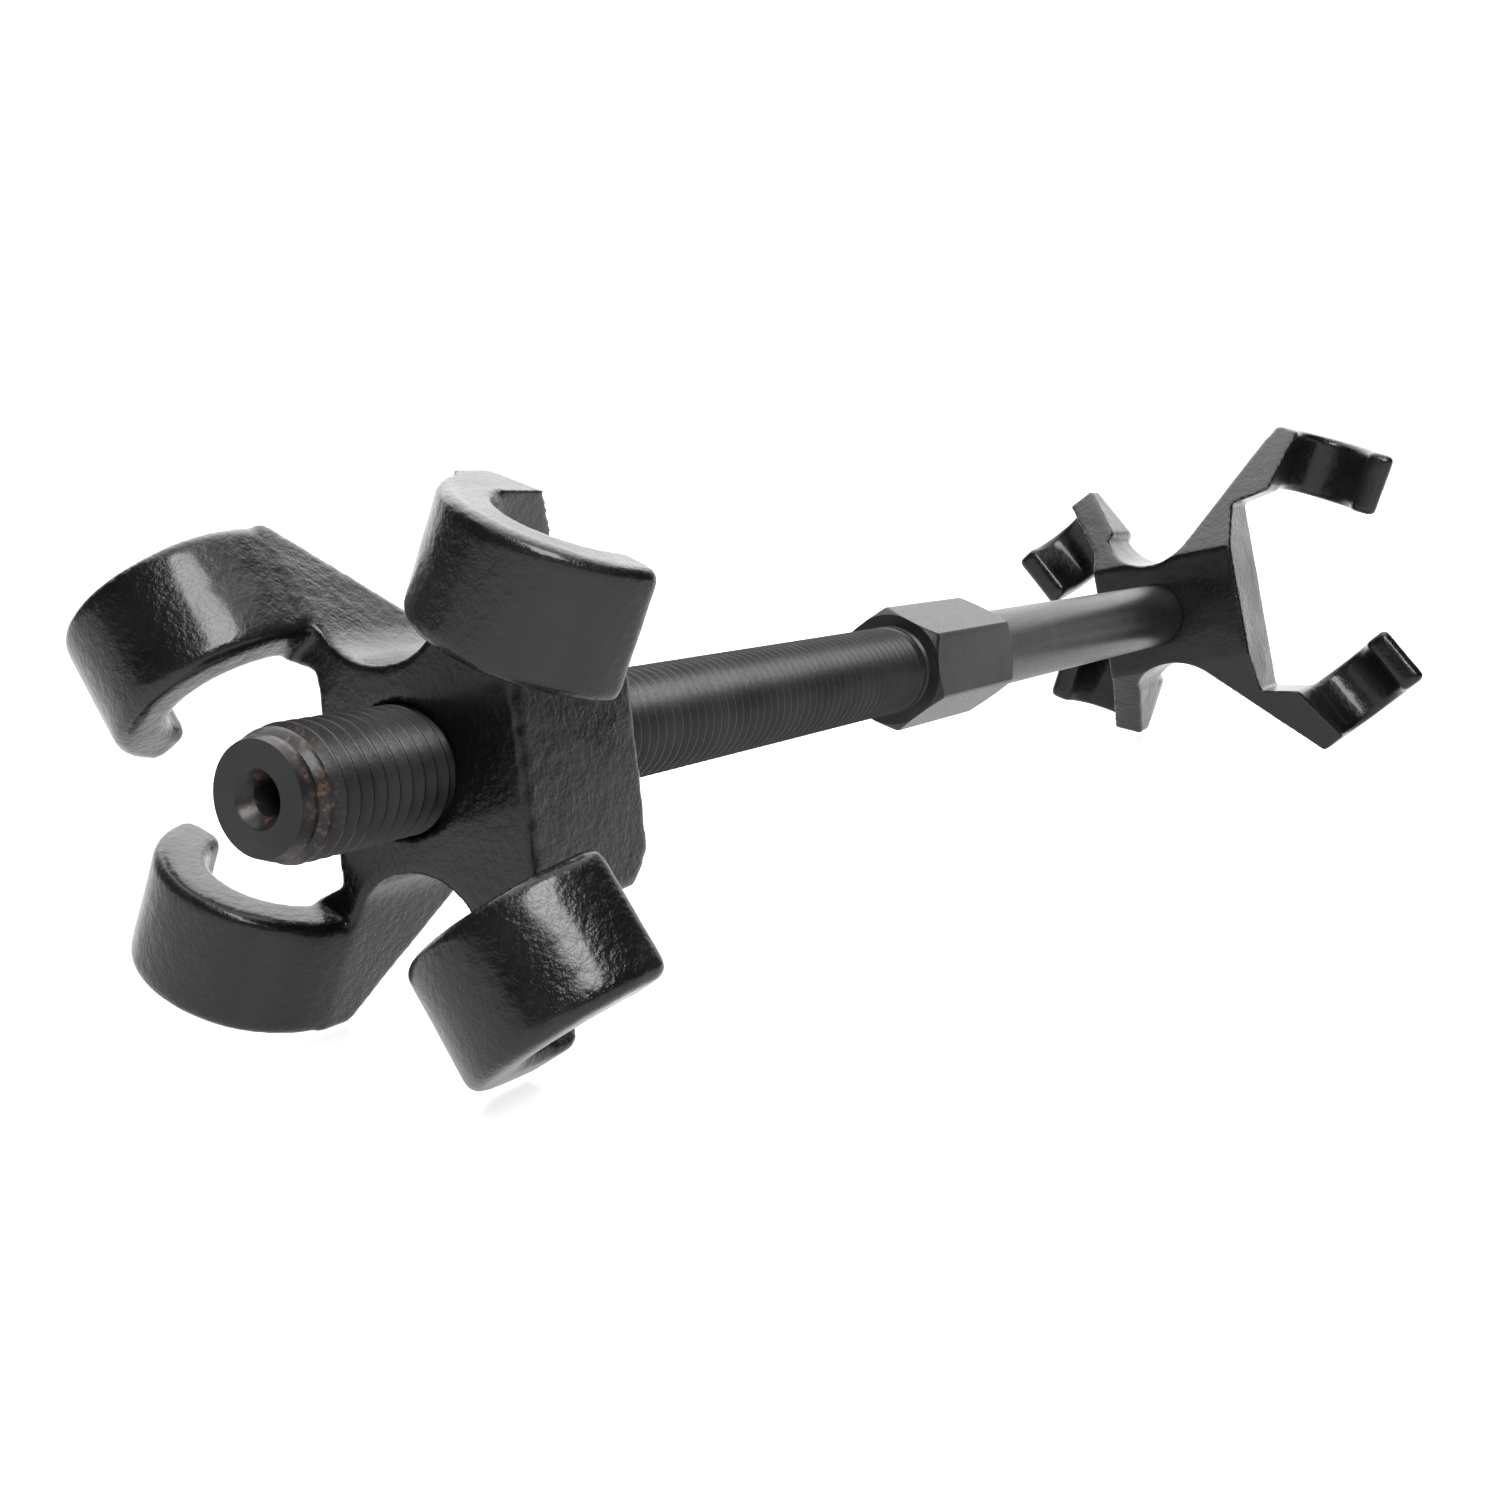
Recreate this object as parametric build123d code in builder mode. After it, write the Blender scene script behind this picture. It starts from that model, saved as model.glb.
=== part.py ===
"""Coil spring compressor: one forcing screw and two double-ended claw jaws.

All lengths are in millimetres.  The screw lies along X, +Z is up, and the tool lies on
the floor on the lower claws of both jaws.  Every piece is drawn about the screw's axis,
with X = 0 at the threaded end, and is then moved so that the origin is at the middle of
the underside of the whole tool.
"""
from build123d import *
from math import cos, radians, sin
import os

# ---------------------------------------------------------------- driving dimensions
THREAD_DIAMETER = 19.05
PITCH = 2.54
THREAD_DEPTH = 1.45
THREAD_CREST = 0.32
THREAD_ROOT = 0.55
THREAD_RUNOUT = 3.0
THREAD_LENGTH = 188.0
END_FACE_DIAMETER = 16.2
END_CHAMFER = 4.6
CENTRE_HOLE_DIAMETER = 5.4
CENTRE_HOLE_DEPTH = 12.0
COUNTERSINK_DIAMETER = 7.6

HEX_ACROSS_FLATS = 24.0
HEX_LENGTH = 43.0
HEX_TURN = 6.5
HEX_CHAMFER = 1.7

SHANK_LENGTH = 149.0
JOURNAL_DIAMETER = 16.0
RUNNING_CLEARANCE = 0.05

JAW_THICKNESS = 28.0
VALLEY_HALF_FLAT = 8.5
CLAW_ANGLE = 29.0
CLAW_WIDTH = 19.0
CLAW_THICKNESS = 8.0
CLAW_TIP_ANGLE = 5.0
CLAW_EDGE_RADIUS = 1.8
CLAW_TIP_RADIUS = 2.4
ARM_TIP_THICKNESS = 4.0
SHOULDER_DROP = 2.0
SLOPE_START = 17.0
SLOPE_MARGIN = 5.0
AXIS_HEIGHT = 41.6

SHOULDER_EASE = 0.8
WASHER_DIAMETER = 34.0
WASHER_THICKNESS = 4.0
WASHER_GAP = 0.1
NUT_ACROSS_FLATS = 24.0
NUT_HEIGHT = 15.0
NUT_CHAMFER = 1.4
PIN_DIAMETER = 4.0
PIN_LENGTH = 23.0
PIN_CHAMFER = 0.5
STUB_LENGTH = 4.0
STUB_CHAMFER = 1.5
PRESS_GAP = 0.02
CUT_MARGIN = 1.0

# ---------------------------------------------------------------- worked-out places
THREAD_RADIUS = THREAD_DIAMETER / 2
JOURNAL_RADIUS = JOURNAL_DIAMETER / 2
TRAVELLING_JAW_X = 55.4
HEX_X = THREAD_LENGTH
SHANK_X = HEX_X + HEX_LENGTH
SWIVEL_JAW_X = SHANK_X + SHANK_LENGTH
WASHER_X = SWIVEL_JAW_X + JAW_THICKNESS + WASHER_GAP
NUT_X = WASHER_X + WASHER_THICKNESS + WASHER_GAP
PIN_X = NUT_X + NUT_HEIGHT / 2
SCREW_END_X = NUT_X + NUT_HEIGHT + STUB_LENGTH
ALONG_SCREW = Plane(origin=(0, 0, 0), x_dir=(0, 1, 0), z_dir=(1, 0, 0))


def across_screw(x):
    """The plane square to the screw at x, with its normal along +X."""
    return ALONG_SCREW.offset(x)


# ---------------------------------------------------------------- jaws
class Jaw:
    """Sizes of one jaw, in its own frame: right is the wide side, up is up at no lean.

    x is the face towards the middle of the tool, facing is the way the claws point, and
    lean is the turn about the screw at which both lower claws touch the floor.  body
    and root are how far the body's sides and the claws' roots stand right and left of
    the axis, and upper is the roots' height there.  The lower roots' heights follow
    from the lean and the height of the axis.  stagger follows the rise of a spring's
    coil: its first number lengthens the upper right claw and shortens the lower right
    one, and its second number shortens the upper left claw and lengthens the lower left.
    """

    def __init__(self, x, facing, lean, bore_radius, body, root, upper, waist, valley, claw_radius, stagger):
        self.x, self.facing, self.lean, self.bore_radius = x, facing, radians(lean), bore_radius
        self.body, self.root, self.waist, self.valley = body, root, waist, valley
        self.claw_radius, self.stagger = claw_radius, stagger
        lower = [(AXIS_HEIGHT + sign * reach * sin(self.lean)) / cos(self.lean)
                 for sign, reach in zip((1, -1), root)]
        self.height = {1: upper, -1: lower}
        self.plane = Plane(origin=(x, 0, 0), x_dir=(0, -cos(self.lean), sin(self.lean)),
                           z_dir=(facing, 0, 0))

    def place(self, right, up, depth=0):
        """A point of the jaw: right and up across the screw, depth the way the claws point."""
        across = self.plane.x_dir
        above = Vector(0, sin(self.lean), cos(self.lean))
        return self.plane.origin + across * right + above * up + self.plane.z_dir * depth


CLAWS = [(side, level) for side in (0, 1) for level in (1, -1)]


def claw_corner(jaw, side, level, outward=0.0, inward=0.0):
    """A corner of the claw's root: (right, up) from the axis."""
    out_x, out_y = cos(radians(CLAW_ANGLE)), sin(radians(CLAW_ANGLE))
    right = jaw.root[side] + outward * out_x - inward * out_y
    up = jaw.height[level][side] - outward * out_y - inward * out_x
    return (right if side == 0 else -right), level * up


def claw_start(jaw, side, level):
    """How far from the middle-facing side the claw's half ring starts."""
    return JAW_THICKNESS + jaw.stagger[side] * level * (1 if side == 0 else -1)


def make_claw(jaw, side, level):
    """One hooked strip: a leg and a half ring, extruded across its width."""
    root = jaw.place(*claw_corner(jaw, side, level))
    out = (jaw.place(*claw_corner(jaw, side, level, outward=1)) - root).normalized()
    inward = (jaw.place(*claw_corner(jaw, side, level, inward=1)) - root).normalized()
    flip = 1 if inward.cross(out).dot(jaw.plane.z_dir) > 0 else -1
    strip_plane = Plane(origin=root, x_dir=out, z_dir=inward)
    depth = flip * claw_start(jaw, side, level)
    start = flip * ARM_TIP_THICKNESS
    sweep = -flip * (180 - CLAW_TIP_ANGLE)
    with BuildPart() as claw:
        with BuildSketch(strip_plane):
            with BuildLine():
                ring = CenterArc((jaw.claw_radius, depth), jaw.claw_radius, 180, sweep)
                hollow_radius = jaw.claw_radius - CLAW_THICKNESS
                hollow = CenterArc((jaw.claw_radius, depth), hollow_radius, 180, sweep)
                Line(ring @ 1, hollow @ 1)
                Polyline(hollow @ 0, (CLAW_THICKNESS, start), (0, start), ring @ 0)
            make_face()
        extrude(amount=CLAW_WIDTH)
        along = claw.edges().filter_by(Axis(root, inward))
        tip_edges = along.sort_by(lambda edge: (edge.center() - root).dot(out))
        fillet(tip_edges[-2:], CLAW_TIP_RADIUS)
        fillet(claw.faces().filter_by(Plane(root, z_dir=inward)).edges(), CLAW_EDGE_RADIUS)
    return claw.part


def outline_quarter(jaw, side, level):
    """The outline's corners from a body side round the arm's end to the waist."""
    shoulder = claw_corner(jaw, side, level, outward=CLAW_THICKNESS, inward=CLAW_WIDTH)
    edge = jaw.body[side] if side == 0 else -jaw.body[side]
    waist = VALLEY_HALF_FLAT if side == 0 else -VALLEY_HALF_FLAT
    return [(edge, shoulder[1] - level * SHOULDER_DROP), shoulder,
            claw_corner(jaw, side, level, outward=CLAW_THICKNESS), claw_corner(jaw, side, level),
            (waist, level * jaw.waist)]


def make_jaw(jaw):
    """The body and arms with four claws, the arms thinned towards them, and the bore."""
    turn = 1 if jaw.plane.y_dir.Z > 0 else -1
    corners = [outline_quarter(jaw, side, level) for side, level in CLAWS]
    outline = corners[0] + corners[2][::-1] + corners[3] + corners[1][::-1]
    with BuildPart() as casting:
        with BuildSketch(jaw.plane) as profile:
            with BuildLine():
                Polyline(*[(right, turn * up) for right, up in outline], close=True)
            make_face()
            valley = profile.vertices().filter_by(lambda point: abs(abs(point.X) - VALLEY_HALF_FLAT) < 0.01)
            fillet(valley, jaw.valley)
        extrude(amount=JAW_THICKNESS)
        for side, level in CLAWS:
            add(make_claw(jaw, side, level))
        for side, level in CLAWS:
            height = jaw.height[level][side]
            end = claw_start(jaw, side, level)
            reach = height + SLOPE_MARGIN
            sliver = end - ARM_TIP_THICKNESS
            corners = ((SLOPE_START, 0), (height, sliver), (reach, sliver),
                       (reach, -SLOPE_MARGIN), (SLOPE_START, -SLOPE_MARGIN))
            frame = Plane(origin=jaw.place(0, 0), x_dir=jaw.place(0, 1) - jaw.place(0, 0),
                          z_dir=jaw.plane.x_dir * (1 if side == 0 else -1))
            with BuildSketch(frame):
                with BuildLine():
                    cut = [frame.to_local_coords(jaw.place(0, level * up, depth)) for up, depth in corners]
                    Polyline(*cut, close=True)
                make_face()
            extrude(amount=jaw.root[side] + jaw.claw_radius, mode=Mode.SUBTRACT)
        with BuildSketch(jaw.plane):
            Circle(jaw.bore_radius)
        extrude(amount=JAW_THICKNESS, mode=Mode.SUBTRACT)
    return casting.part


travelling = Jaw(x=TRAVELLING_JAW_X, facing=-1, lean=7.0, bore_radius=THREAD_RADIUS + RUNNING_CLEARANCE,
                 body=(22.0, 14.1), root=(15.8, 22.0), upper=(40.6, 37.5), waist=15.2, valley=11.7,
                 claw_radius=18.0, stagger=(-4.0, -2.0))
swivel = Jaw(x=SWIVEL_JAW_X, facing=1, lean=12.3, bore_radius=JOURNAL_RADIUS + RUNNING_CLEARANCE,
             body=(27.2, 17.0), root=(40.3, 19.7), upper=(52.0, 44.0), waist=15.8, valley=15.0,
             claw_radius=18.5, stagger=(6.0, 3.5))

with BuildPart() as travelling_jaw:
    add(make_jaw(travelling))
travelling_jaw.part.label = "travelling_jaw"

with BuildPart() as swivel_jaw:
    add(make_jaw(swivel))
swivel_jaw.part.label = "swivel_jaw"

# ---------------------------------------------------------------- screw
def thread_profile():
    """Ring grooves at the thread's pitch, as (x, radius) points from the chamfered end."""
    flank = (PITCH - THREAD_CREST - THREAD_ROOT) / 2
    depth = THREAD_DEPTH
    points = [(0, 0), (0, END_FACE_DIAMETER / 2), (END_CHAMFER, THREAD_RADIUS)]
    turns = int((THREAD_LENGTH - END_CHAMFER - THREAD_RUNOUT) / PITCH)
    for turn in range(turns):
        start = END_CHAMFER + THREAD_CREST + turn * PITCH
        points += [(start, THREAD_RADIUS), (start + flank, THREAD_RADIUS - depth),
                   (start + flank + THREAD_ROOT, THREAD_RADIUS - depth),
                   (start + 2 * flank + THREAD_ROOT, THREAD_RADIUS)]
    return points


def turned_corners(start, end, across_flats, depth):
    """The two rings of metal turned off the corners at the ends of a hexagonal prism."""
    corner = across_flats / 2 / cos(radians(30))
    with BuildPart() as rings:
        with BuildSketch(Plane.XZ):
            for x, along in ((start, 1), (end, -1)):
                with BuildLine():
                    Polyline((x, corner - depth), (x, corner + CUT_MARGIN),
                             (x + along * (depth + CUT_MARGIN) / 2, corner + CUT_MARGIN), close=True)
                make_face()
        revolve(axis=Axis.X)
    return rings.part


with BuildPart() as spindle:
    with BuildSketch(Plane.XZ):
        with BuildLine():
            Polyline(*thread_profile(),
                     (SWIVEL_JAW_X - SHOULDER_EASE, THREAD_RADIUS),
                     (SWIVEL_JAW_X, THREAD_RADIUS - SHOULDER_EASE),
                     (SWIVEL_JAW_X, JOURNAL_RADIUS),
                     (SCREW_END_X - STUB_CHAMFER, JOURNAL_RADIUS),
                     (SCREW_END_X, JOURNAL_RADIUS - STUB_CHAMFER),
                     (SCREW_END_X, 0), close=True)
        make_face()
    revolve(axis=Axis.X)
    with BuildSketch(across_screw(HEX_X)):
        RegularPolygon(HEX_ACROSS_FLATS / 2, 6, major_radius=False, rotation=30 - HEX_TURN)
    extrude(amount=HEX_LENGTH)
    add(turned_corners(HEX_X, SHANK_X, HEX_ACROSS_FLATS, HEX_CHAMFER), mode=Mode.SUBTRACT)
    with Locations(across_screw(0)):
        with Locations(Rotation(180, 0, 0)):
            CounterSinkHole(CENTRE_HOLE_DIAMETER / 2, COUNTERSINK_DIAMETER / 2, CENTRE_HOLE_DEPTH, 60)
    with BuildSketch(Plane.XY.offset(-THREAD_RADIUS)):
        with Locations((PIN_X, 0)):
            Circle(PIN_DIAMETER / 2 + PRESS_GAP)
    extrude(amount=THREAD_DIAMETER, mode=Mode.SUBTRACT)
spindle.part.label = "spindle"

# ---------------------------------------------------------------- retaining pieces
with BuildPart() as thrust_washer:
    with BuildSketch(across_screw(WASHER_X)):
        Circle(WASHER_DIAMETER / 2)
        Circle(JOURNAL_RADIUS + RUNNING_CLEARANCE, mode=Mode.SUBTRACT)
    extrude(amount=WASHER_THICKNESS)
thrust_washer.part.label = "thrust_washer"

with BuildPart() as retaining_nut:
    with BuildSketch(across_screw(NUT_X)):
        RegularPolygon(NUT_ACROSS_FLATS / 2, 6, major_radius=False)
        Circle(JOURNAL_RADIUS + PRESS_GAP, mode=Mode.SUBTRACT)
    extrude(amount=NUT_HEIGHT)
    add(turned_corners(NUT_X, NUT_X + NUT_HEIGHT, NUT_ACROSS_FLATS, NUT_CHAMFER), mode=Mode.SUBTRACT)
    with BuildSketch(Plane.XY.offset(-NUT_ACROSS_FLATS)):
        with Locations((PIN_X, 0)):
            Circle(PIN_DIAMETER / 2 + PRESS_GAP)
    extrude(amount=2 * NUT_ACROSS_FLATS, mode=Mode.SUBTRACT)
retaining_nut.part.label = "retaining_nut"

with BuildPart() as lock_pin:
    with BuildSketch(Plane.XY.offset(-PIN_LENGTH / 2)):
        with Locations((PIN_X, 0)):
            Circle(PIN_DIAMETER / 2)
    extrude(amount=PIN_LENGTH)
    chamfer(lock_pin.faces().filter_by(Axis.Z).edges(), PIN_CHAMFER)
lock_pin.part.label = "lock_pin"

# ---------------------------------------------------------------- origin and files
pieces = [spindle, travelling_jaw, swivel_jaw, thrust_washer, retaining_nut, lock_pin]
boxes = [piece.part.bounding_box() for piece in pieces]
middle_x = (min(box.min.X for box in boxes) + max(box.max.X for box in boxes)) / 2
middle_y = (min(box.min.Y for box in boxes) + max(box.max.Y for box in boxes)) / 2
to_origin = Location((-middle_x, -middle_y, AXIS_HEIGHT))
print("screw's threaded end, and the axis, from the origin:", to_origin.position)

os.makedirs("parts", exist_ok=True)
for piece in pieces:
    placed = piece.part.moved(to_origin)
    placed.label = piece.part.label
    export_step(placed, f"parts/{placed.label}.step")
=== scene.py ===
"""Coil spring compressor: its looks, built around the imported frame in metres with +Z up.

The screw gets a helical thread, both jaws get a cast skin over the shape of their solids, and
the washer, nut and pin keep their own meshes with a finish of their own.
"""
from math import cos, pi, radians, sin

import bmesh
import bpy
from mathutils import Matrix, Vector


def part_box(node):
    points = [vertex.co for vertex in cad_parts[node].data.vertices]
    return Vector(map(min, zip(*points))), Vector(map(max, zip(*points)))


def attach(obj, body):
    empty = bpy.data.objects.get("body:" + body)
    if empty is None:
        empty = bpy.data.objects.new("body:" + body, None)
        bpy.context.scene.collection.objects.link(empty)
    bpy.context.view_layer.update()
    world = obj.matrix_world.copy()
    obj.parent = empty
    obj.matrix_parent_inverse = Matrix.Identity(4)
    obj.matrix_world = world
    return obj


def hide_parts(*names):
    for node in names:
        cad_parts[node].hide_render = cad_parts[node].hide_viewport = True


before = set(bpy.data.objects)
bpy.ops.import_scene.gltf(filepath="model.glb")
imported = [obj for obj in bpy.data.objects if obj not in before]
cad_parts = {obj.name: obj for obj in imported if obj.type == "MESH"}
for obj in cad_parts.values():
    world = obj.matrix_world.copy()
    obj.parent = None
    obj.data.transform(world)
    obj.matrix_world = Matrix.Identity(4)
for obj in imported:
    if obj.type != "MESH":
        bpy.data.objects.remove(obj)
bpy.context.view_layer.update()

MM = 0.001

# ---------------------------------------------------------------- sizes, in mm
THREAD_RADIUS = 9.5
PITCH = 2.54
THREAD_DEPTH = 1.35
THREAD_LENGTH = 186.5
END_FACE_RADIUS = 7.9
END_CHAMFER = 4.6
CENTRE_HOLE_RADIUS = 2.7
CENTRE_HOLE_DEPTH = 12.0
COUNTERSINK_RADIUS = 3.9
COUNTERSINK_DEPTH = 2.1
BROKEN_EDGE = 0.25
HEX_START = 188.0
HEX_END = 231.0
HEX_HALF_FLATS = 12.0
HEX_TURN = 6.5
HEX_CHAMFER = 1.7
HEX_CHAMFER_RISE = 1.034
HEX_CHAMFER_STEPS = 8
HEX_BROKEN_CORNER = 0.12
UNDERCUT = 0.35
SHOULDER_EASE = 0.8
FIT_GAP = 0.05
JOURNAL_START = 380.0
JOURNAL_RADIUS = 8.0
STUB_CHAMFER = 1.5
BORE_RADIUS = 9.65
JOURNAL_BORE_RADIUS = 8.15
MERGE_GAP = 0.002
TURN_STEPS = 72
LATHE_STEPS = 144

# where the threaded end's centre stands, and how long the screw is
screw_low, screw_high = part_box("spindle")
END_X = screw_low.x / MM
AXIS_Y = (screw_low.y + screw_high.y) / 2 / MM
AXIS_Z = (screw_low.z + screw_high.z) / 2 / MM
SCREW_LENGTH = (screw_high.x - screw_low.x) / MM


# ---------------------------------------------------------------- mesh helpers
def new_object(name, bm, smooth_angle=35):
    """A shaded object from a bmesh whose points are in metres."""
    bmesh.ops.recalc_face_normals(bm, faces=bm.faces)
    mesh = bpy.data.meshes.new(name)
    bm.to_mesh(mesh)
    bm.free()
    mesh.shade_smooth()
    mesh.set_sharp_from_angle(angle=radians(smooth_angle))
    made = bpy.data.objects.new(name, mesh)
    bpy.context.scene.collection.objects.link(made)
    return made


def on_axis(x, radius, angle):
    """A point at x along the screw, in metres in the row's frame."""
    return Vector((END_X + x, AXIS_Y + radius * cos(angle), AXIS_Z + radius * sin(angle))) * MM


def join_rings(bm, rings):
    """Quads between neighbouring closed rings of points."""
    for low, high in zip(rings, rings[1:]):
        count = len(low)
        for i in range(count):
            j = (i + 1) % count
            bm.faces.new((low[i], low[j], high[j], high[i]))


def end_cone(x):
    """The largest radius that the chamfer leaves at x."""
    if x >= END_CHAMFER:
        return THREAD_RADIUS
    return END_FACE_RADIUS + (THREAD_RADIUS - END_FACE_RADIUS) * max(x, 0) / END_CHAMFER


# ---------------------------------------------------------------- screw
# one turn of the thread, as (share of the pitch, share of the depth): rounded crest and root
THREAD_ROWS = ((0.00, 0.0), (0.07, 0.02), (0.13, 0.10), (0.43, 0.90), (0.50, 1.0), (0.58, 1.0),
               (0.65, 0.90), (0.92, 0.14))


def add_thread(bm):
    """The helical thread, cut by the end chamfer and fading out before the hexagon."""
    turns = int(THREAD_LENGTH / PITCH) + 3
    lines = []
    for turn in range(-1, turns):
        for share, dip in THREAD_ROWS:
            line = []
            for i in range(TURN_STEPS + 1):
                around = i / TURN_STEPS
                x = (turn + around + share) * PITCH
                fade = min(1, max(0, (THREAD_LENGTH - x) / PITCH))
                radius = min(THREAD_RADIUS - dip * THREAD_DEPTH * fade, end_cone(x))
                x = min(max(x, 0), THREAD_LENGTH)
                line.append(bm.verts.new(on_axis(x, radius, 2 * pi * around)))
            lines.append(line)
    for low, high in zip(lines, lines[1:]):
        for i in range(TURN_STEPS):
            bm.faces.new((low[i], low[i + 1], high[i + 1], high[i]))
    bmesh.ops.remove_doubles(bm, verts=bm.verts, dist=MERGE_GAP * MM)
    bmesh.ops.dissolve_degenerate(bm, dist=MERGE_GAP * MM, edges=bm.edges)


def add_lathe(bm, profile, steps=LATHE_STEPS):
    """A turned surface through (x, radius) points, where a radius may be a function of the angle."""
    rings = []
    for x, radius in profile:
        ring = []
        for i in range(steps):
            angle = 2 * pi * i / steps
            here = radius(angle) if callable(radius) else radius
            ring.append(bm.verts.new(on_axis(x, here, angle)))
        rings.append(ring)
    join_rings(bm, rings)
    return rings


def hexagon(angle):
    """The hexagon's radius at an angle, with a corner near the top and its edges just broken."""
    turn = (angle - pi / 2 + radians(HEX_TURN)) % (pi / 3) - pi / 6
    return min(HEX_HALF_FLATS / cos(turn), HEX_HALF_FLATS / cos(pi / 6) - HEX_BROKEN_CORNER)


def hexagon_profile():
    """The hexagon with its turned chamfers, from its near face to its far face."""
    corner = HEX_HALF_FLATS / cos(pi / 6)
    points = []
    for end, along in ((HEX_START, 1), (HEX_END, -1)):
        rows = []
        for i in range(HEX_CHAMFER_STEPS + 1):
            step = HEX_CHAMFER * 1.1 * i / HEX_CHAMFER_STEPS
            cone = corner - HEX_CHAMFER + step * HEX_CHAMFER_RISE
            rows.append((end + along * step, lambda angle, cone=cone: min(hexagon(angle), cone)))
        points += rows if along == 1 else rows[::-1]
    return points


def make_screw():
    """Thread, centre hole, hexagon, shank and journal as one closed skin."""
    bm = bmesh.new()
    add_thread(bm)
    hole = [(0, END_FACE_RADIUS), (0, COUNTERSINK_RADIUS + BROKEN_EDGE), (0.2, COUNTERSINK_RADIUS),
            (COUNTERSINK_DEPTH, CENTRE_HOLE_RADIUS), (CENTRE_HOLE_DEPTH, CENTRE_HOLE_RADIUS)]
    rings = add_lathe(bm, hole, TURN_STEPS)
    bm.faces.new(rings[-1])
    relief_radius = THREAD_RADIUS - UNDERCUT
    journal_face = JOURNAL_START - FIT_GAP
    journal_radius = JOURNAL_RADIUS - 0.03
    body = [(THREAD_LENGTH, THREAD_RADIUS), (THREAD_LENGTH + 0.2, THREAD_RADIUS),
            (THREAD_LENGTH + 0.5, relief_radius), (HEX_START - 0.4, relief_radius),
            (HEX_START, THREAD_RADIUS + 0.2)]
    body += hexagon_profile()
    body += [(HEX_END, THREAD_RADIUS + 0.5), (HEX_END + 0.5, THREAD_RADIUS),
             (JOURNAL_START - SHOULDER_EASE, THREAD_RADIUS),
             (journal_face, THREAD_RADIUS - SHOULDER_EASE + FIT_GAP),
             (journal_face, journal_radius),
             (SCREW_LENGTH - STUB_CHAMFER, journal_radius),
             (SCREW_LENGTH, JOURNAL_RADIUS - STUB_CHAMFER)]
    rings = add_lathe(bm, body)
    bm.faces.new(rings[-1])
    bmesh.ops.remove_doubles(bm, verts=bm.verts, dist=MERGE_GAP * MM)
    return new_object("forcing_screw", bm, 30)


# ---------------------------------------------------------------- jaws
VOXEL = 0.55 * MM
ROUNDING_STEPS = 12
LUMP_SIZE = 9 * MM
LUMP_HEIGHT = 0.2 * MM
CUTTER_MARGIN = 2.0
CUTTER_STEPS = 96


def apply_modifiers(made):
    """Replaces the object's mesh with what its modifiers make of it."""
    graph = bpy.context.evaluated_depsgraph_get()
    mesh = bpy.data.meshes.new_from_object(made.evaluated_get(graph))
    made.modifiers.clear()
    made.data = mesh


def bore_cutter(low, high, radius):
    """A cylinder about the screw's axis, for cutting a clean bore."""
    bm = bmesh.new()
    ends = ((low.x / MM - END_X - CUTTER_MARGIN, radius), (high.x / MM - END_X + CUTTER_MARGIN, radius))
    rings = add_lathe(bm, ends, CUTTER_STEPS)
    for ring in rings:
        bm.faces.new(ring)
    return new_object("bore_cutter", bm)


def make_casting(node, name, radius):
    """A cast copy of a jaw: rounded edges, faint lumps in its surface and a clean bore."""
    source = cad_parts[node]
    made = bpy.data.objects.new(name, source.data.copy())
    bpy.context.scene.collection.objects.link(made)
    weld = made.modifiers.new("weld", "WELD")
    weld.merge_threshold = 0.005 * MM
    remesh = made.modifiers.new("remesh", "REMESH")
    remesh.mode = "VOXEL"
    remesh.voxel_size = VOXEL * 1
    rounding = made.modifiers.new("rounding", "SMOOTH")
    rounding.factor = 0.5
    rounding.iterations = ROUNDING_STEPS // 1
    lumps = bpy.data.textures.new(name + "_lumps", "CLOUDS")
    lumps.noise_scale = LUMP_SIZE
    lumps.noise_depth = 2
    swell = made.modifiers.new("lumps", "DISPLACE")
    swell.texture = lumps
    swell.texture_coords = "LOCAL"
    swell.strength = LUMP_HEIGHT
    swell.mid_level = 0.6
    apply_modifiers(made)
    low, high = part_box(node)
    cutter = bore_cutter(low, high, radius)
    cut = made.modifiers.new("bore", "BOOLEAN")
    cut.object = cutter
    cut.solver = "EXACT"
    apply_modifiers(made)
    bpy.data.objects.remove(cutter)
    made.data.shade_smooth()
    made.data.set_sharp_from_angle(angle=radians(50))
    return made


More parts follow.
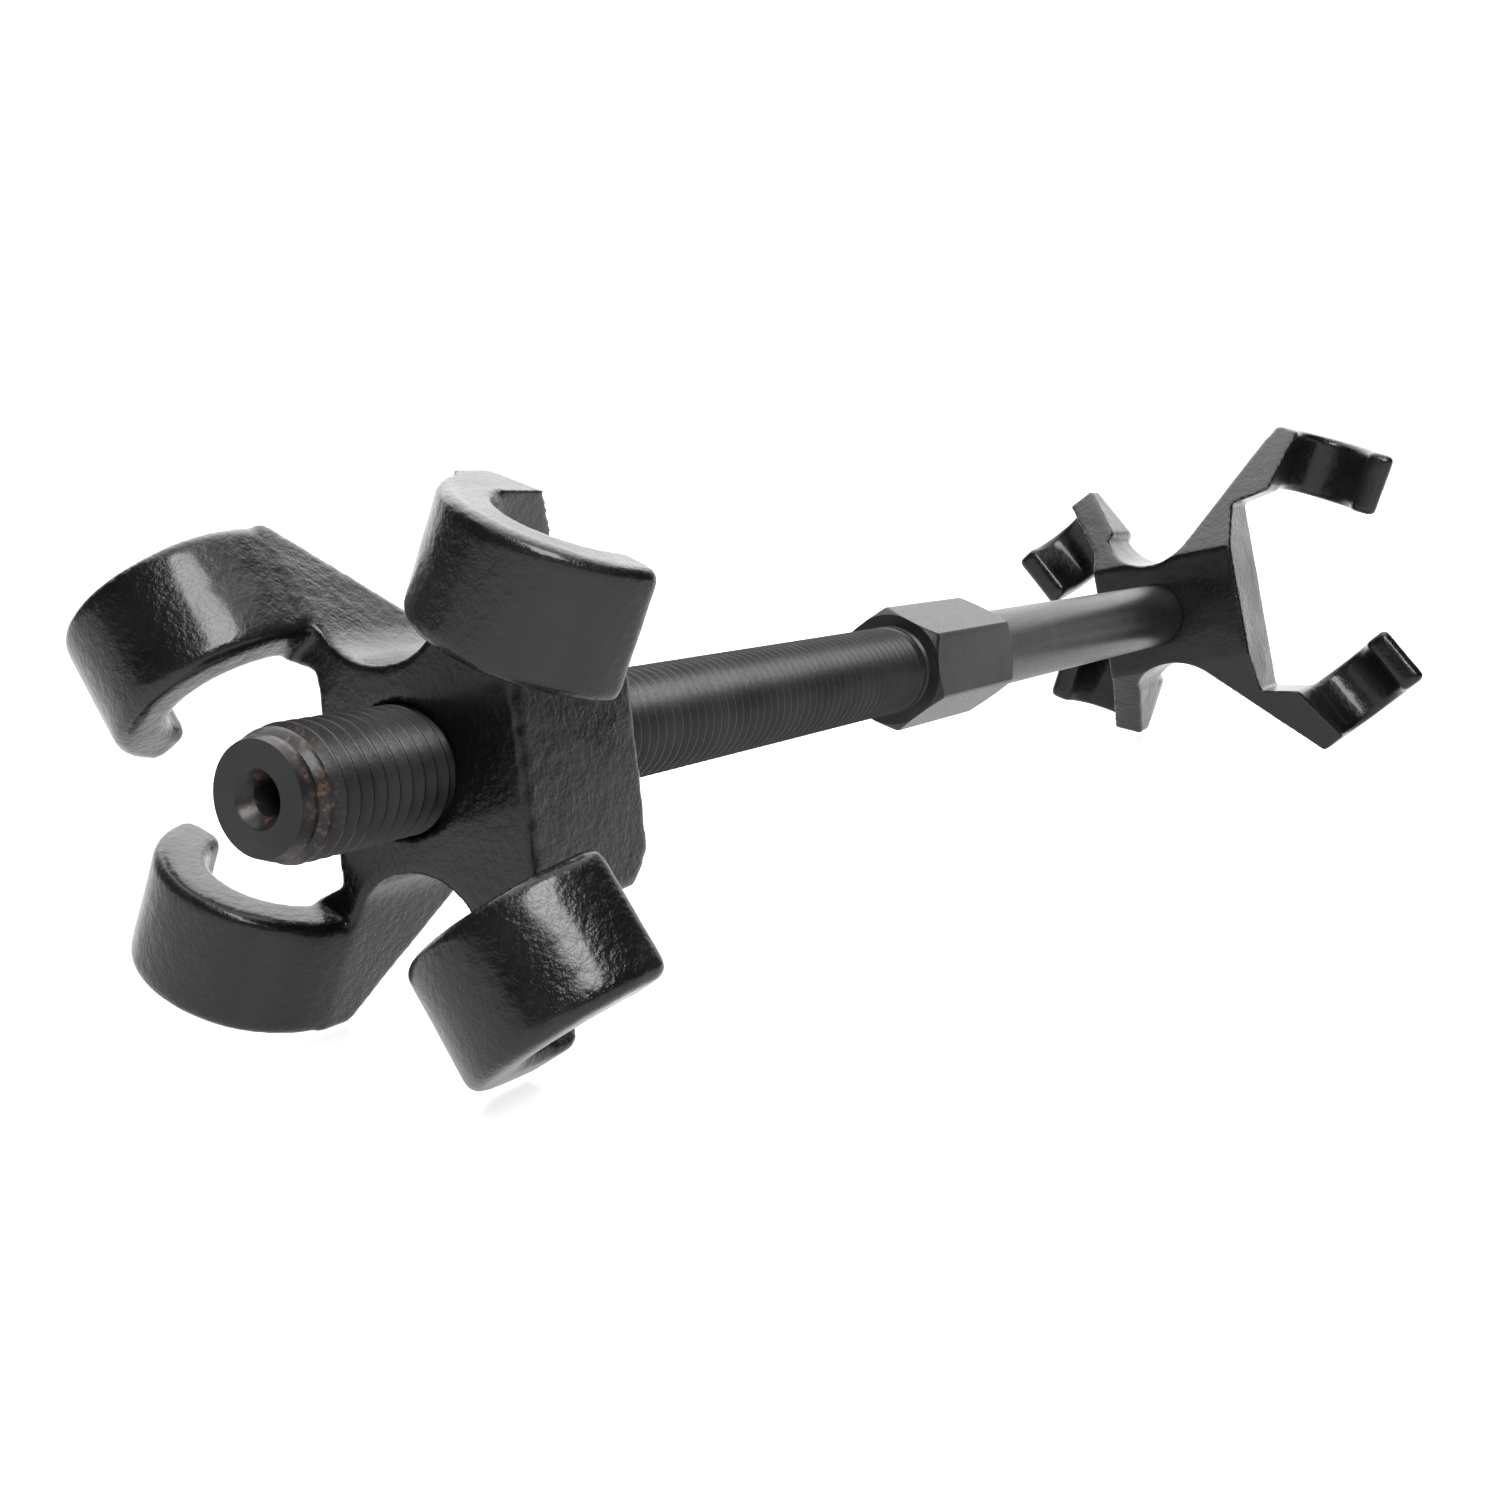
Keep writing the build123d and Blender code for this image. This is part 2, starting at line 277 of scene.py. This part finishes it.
# ---------------------------------------------------------------- materials
class Look:
    """A node material and the few calls that its layers are made with."""

    def __init__(self, name, colour, roughness, metallic=0.0, coat=0.0, coat_roughness=0.1, specular=0.5):
        self.material = bpy.data.materials.new(name)
        self.material.use_nodes = True
        self.nodes = self.material.node_tree.nodes
        self.link = self.material.node_tree.links.new
        self.shader = self.nodes["Principled BSDF"]
        self.shader.inputs["Base Color"].default_value = (*colour, 1)
        self.shader.inputs["Roughness"].default_value = roughness
        self.shader.inputs["Metallic"].default_value = metallic
        self.shader.inputs["Coat Weight"].default_value = coat
        self.shader.inputs["Coat Roughness"].default_value = coat_roughness
        self.shader.inputs["Specular IOR Level"].default_value = specular
        self.place = self.nodes.new("ShaderNodeTexCoord").outputs["Object"]
        self.normal = None

    def noise(self, size, detail=2.0, roughness=0.5):
        """A noise whose lumps are about size metres across."""
        node = self.nodes.new("ShaderNodeTexNoise")
        node.inputs["Scale"].default_value = 1 / size
        node.inputs["Detail"].default_value = detail
        node.inputs["Roughness"].default_value = roughness
        self.link(self.place, node.inputs["Vector"])
        return node.outputs["Fac"]

    def ramp(self, source, low, high, start=0.0, end=1.0):
        """Maps low..high of the source to start..end."""
        node = self.nodes.new("ShaderNodeMapRange")
        for socket, value in zip(("From Min", "From Max", "To Min", "To Max"), (low, high, start, end)):
            node.inputs[socket].default_value = value
        self.link(source, node.inputs["Value"])
        return node.outputs["Result"]

    def mix(self, factor, first, second):
        """A colour between two, each a colour or another layer's output."""
        node = self.nodes.new("ShaderNodeMix")
        node.data_type = "RGBA"
        self.link(factor, node.inputs["Factor"])
        for socket, value in (("A", first), ("B", second)):
            slot = next(s for s in node.inputs if s.name == socket and s.type == "RGBA")
            if isinstance(value, tuple):
                slot.default_value = (*value, 1)
            else:
                self.link(value, slot)
        return next(s for s in node.outputs if s.type == "RGBA")

    def times(self, first, second):
        """The product of two outputs."""
        node = self.nodes.new("ShaderNodeMath")
        node.operation = "MULTIPLY"
        self.link(first, node.inputs[0])
        self.link(second, node.inputs[1])
        return node.outputs["Value"]

    def bump(self, source, height):
        """Adds a bump of that height, in metres, on top of those before it."""
        node = self.nodes.new("ShaderNodeBump")
        node.inputs["Distance"].default_value = height
        node.inputs["Strength"].default_value = 1.0
        self.link(source, node.inputs["Height"])
        if self.normal:
            self.link(self.normal, node.inputs["Normal"])
        self.normal = node.outputs["Normal"]
        self.link(self.normal, self.shader.inputs["Normal"])

    def along_screw(self):
        """How far a point is from the threaded end, in metres."""
        split = self.nodes.new("ShaderNodeSeparateXYZ")
        self.link(self.place, split.inputs["Vector"])
        node = self.nodes.new("ShaderNodeMath")
        node.operation = "SUBTRACT"
        self.link(split.outputs["X"], node.inputs[0])
        node.inputs[1].default_value = END_X * MM
        return node.outputs["Value"]


def casting_paint():
    """Glossy black paint over a sand-cast skin: orange peel, pits and duller grainy patches."""
    look = Look("casting_paint", (0.006, 0.006, 0.007), 0.32, coat=0.35, coat_roughness=0.14, specular=0.2)
    peel = look.noise(1.5 * MM, detail=2.5, roughness=0.55)
    grain = look.noise(0.6 * MM, detail=2.0, roughness=0.6)
    patches = look.noise(16 * MM, detail=2.0)
    colour = look.mix(look.ramp(patches, 0.35, 0.65), (0.004, 0.004, 0.0045), (0.008, 0.008, 0.008))
    look.link(colour, look.shader.inputs["Base Color"])
    look.link(look.ramp(patches, 0.3, 0.7, 0.24, 0.4), look.shader.inputs["Roughness"])
    look.bump(peel, 0.24 * MM)
    look.bump(grain, 0.11 * MM)
    return look.material


def screw_finish():
    """Black oxide on turned steel, oiled, with rust worn through at the threaded end."""
    look = Look("screw_black_oxide", (0.008, 0.008, 0.008), 0.38, coat=0.1, coat_roughness=0.25,
                specular=0.22)
    smear = look.noise(9 * MM, detail=3.0)
    fine = look.noise(0.5 * MM, detail=3.0, roughness=0.65)
    black = look.mix(look.ramp(smear, 0.35, 0.65), (0.006, 0.006, 0.006), (0.013, 0.013, 0.013))
    near_end = look.times(look.ramp(look.along_screw(), 0.2 * MM, 1.6 * MM),
                          look.ramp(look.along_screw(), 3 * MM, 8 * MM, 1.0, 0.0))
    blotches = look.ramp(look.noise(1.6 * MM, detail=4.0, roughness=0.7), 0.52, 0.66)
    rust = look.times(near_end, blotches)
    look.link(look.mix(rust, black, (0.085, 0.047, 0.03)), look.shader.inputs["Base Color"])
    look.link(look.ramp(fine, 0.3, 0.7, 0.3, 0.46), look.shader.inputs["Roughness"])
    look.bump(fine, 0.03 * MM)
    return look.material


def hardware_finish():
    """Satin black oxide on the washer, the nut and the pin."""
    look = Look("hardware_black_oxide", (0.02, 0.02, 0.021), 0.36)
    fine = look.noise(0.6 * MM, detail=3.0)
    patches = look.noise(5 * MM)
    look.link(look.mix(look.ramp(patches, 0.35, 0.65), (0.014, 0.014, 0.015), (0.03, 0.03, 0.031)),
              look.shader.inputs["Base Color"])
    look.link(look.ramp(patches, 0.3, 0.7, 0.3, 0.45), look.shader.inputs["Roughness"])
    look.bump(fine, 0.04 * MM)
    return look.material


def floor_finish():
    """A studio board lit from below as well as above, so that its shadows stay pale."""
    look = Look("studio_floor", (0.3, 0.3, 0.3), 0.18, specular=0.15)
    look.shader.inputs["Emission Color"].default_value = (1, 1, 1, 1)
    look.shader.inputs["Emission Strength"].default_value = 0.8
    look.link(look.ramp(look.noise(0.12, detail=2.0), 0.3, 0.7, 0.17, 0.2), look.shader.inputs["Roughness"])
    return look.material


# ---------------------------------------------------------------- pieces
screw = make_screw()
screw.data.materials.append(screw_finish())
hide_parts("spindle")
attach(screw, "screw")

paint = casting_paint()
for node, name, radius in (("travelling_jaw", "threaded_jaw_casting", BORE_RADIUS),
                           ("swivel_jaw", "swivel_jaw_casting", JOURNAL_BORE_RADIUS)):
    casting = make_casting(node, name, radius)
    casting.data.materials.clear()
    casting.data.materials.append(paint)
    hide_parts(node)
    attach(casting, node)

hardware = hardware_finish()
for node in ("thrust_washer", "retaining_nut", "lock_pin"):
    for material_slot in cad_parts[node].material_slots:
        material_slot.material = hardware

# ---------------------------------------------------------------- studio
FLOOR_HALF_WIDTH = 60.0
CEILING_STRENGTH = 2.0
CEILING_SPREAD = 70.0
BACKDROP_DIRECTION = (0.80, 0.50, 0.33)
BACKDROP_EDGE = (0.5, 0.78)
ROOM_STRENGTH = 0.02
BACKDROP_STRENGTH = 2.1
BACKDROP_AS_SEEN = 1.1

bm = bmesh.new()
bmesh.ops.create_grid(bm, x_segments=2, y_segments=2, size=FLOOR_HALF_WIDTH)
floor = new_object("floor", bm)
floor.data.materials.append(floor_finish())


def softbox(name, place, target, width, height, watts):
    """A rectangular area light at a place, facing a target."""
    light = bpy.data.lights.new(name, "AREA")
    light.shape = "RECTANGLE"
    light.size, light.size_y, light.energy = width, height, watts
    made = bpy.data.objects.new(name, light)
    made.location = place
    made.rotation_mode = "QUATERNION"
    made.rotation_quaternion = (Vector(target) - Vector(place)).to_track_quat("-Z", "Y")
    bpy.context.scene.collection.objects.link(made)


softbox("overhead", (0.2, 0.3, 0.95), (-0.1, 0, 0.03), 1.5, 1.3, 12)
softbox("front_key", (-0.67, -0.44, 0.69), (-0.2, 0, 0.05), 0.4, 0.5, 11)

ceiling = bpy.data.lights.new("ceiling", "SUN")
ceiling.energy = CEILING_STRENGTH
ceiling.angle = radians(CEILING_SPREAD)
bpy.context.scene.collection.objects.link(bpy.data.objects.new("ceiling", ceiling))

# bright behind the object, as the camera looks at it, and dark elsewhere; plain white to the camera itself
world = bpy.data.worlds.new("studio")
bpy.context.scene.world = world
world.use_nodes = True
tree = world.node_tree
background = tree.nodes["Background"]
direction = tree.nodes.new("ShaderNodeTexCoord")
turned = tree.nodes.new("ShaderNodeVectorMath")
turned.operation = "DOT_PRODUCT"
turned.inputs[1].default_value = BACKDROP_DIRECTION
tree.links.new(direction.outputs["Generated"], turned.inputs[0])
shade = tree.nodes.new("ShaderNodeMapRange")
shade_range = (*BACKDROP_EDGE, ROOM_STRENGTH, BACKDROP_STRENGTH)
for socket, value in zip(("From Min", "From Max", "To Min", "To Max"), shade_range):
    shade.inputs[socket].default_value = value
tree.links.new(turned.outputs["Value"], shade.inputs["Value"])
path = tree.nodes.new("ShaderNodeLightPath")
seen = tree.nodes.new("ShaderNodeMix")
seen.inputs["B"].default_value = BACKDROP_AS_SEEN
tree.links.new(path.outputs["Is Camera Ray"], seen.inputs["Factor"])
tree.links.new(shade.outputs["Result"], seen.inputs["A"])
tree.links.new(seen.outputs["Result"], background.inputs["Strength"])
background.inputs["Color"].default_value = (1, 1, 1, 1)
bpy.context.scene.view_settings.view_transform = "Standard"

# ---------------------------------------------------------------- camera
CAMERA_FROM_END = Vector((-160.28, -165.66, 39.51)) * MM
CAMERA_YAW = 30.0
CAMERA_PITCH = -8.49
LENS = 42.06
SENSOR = 36.0
camera_data = bpy.data.cameras.new("camera")
camera_data.lens = LENS
camera_data.sensor_width = SENSOR
camera_data.clip_start = 0.01
camera = bpy.data.objects.new("camera", camera_data)
camera.location = on_axis(0, 0, 0) + CAMERA_FROM_END
aim = Vector((cos(radians(CAMERA_PITCH)) * cos(radians(CAMERA_YAW)),
              cos(radians(CAMERA_PITCH)) * sin(radians(CAMERA_YAW)), sin(radians(CAMERA_PITCH))))
camera.rotation_mode = "QUATERNION"
camera.rotation_quaternion = aim.to_track_quat("-Z", "Y")
bpy.context.scene.collection.objects.link(camera)
bpy.context.scene.camera = camera
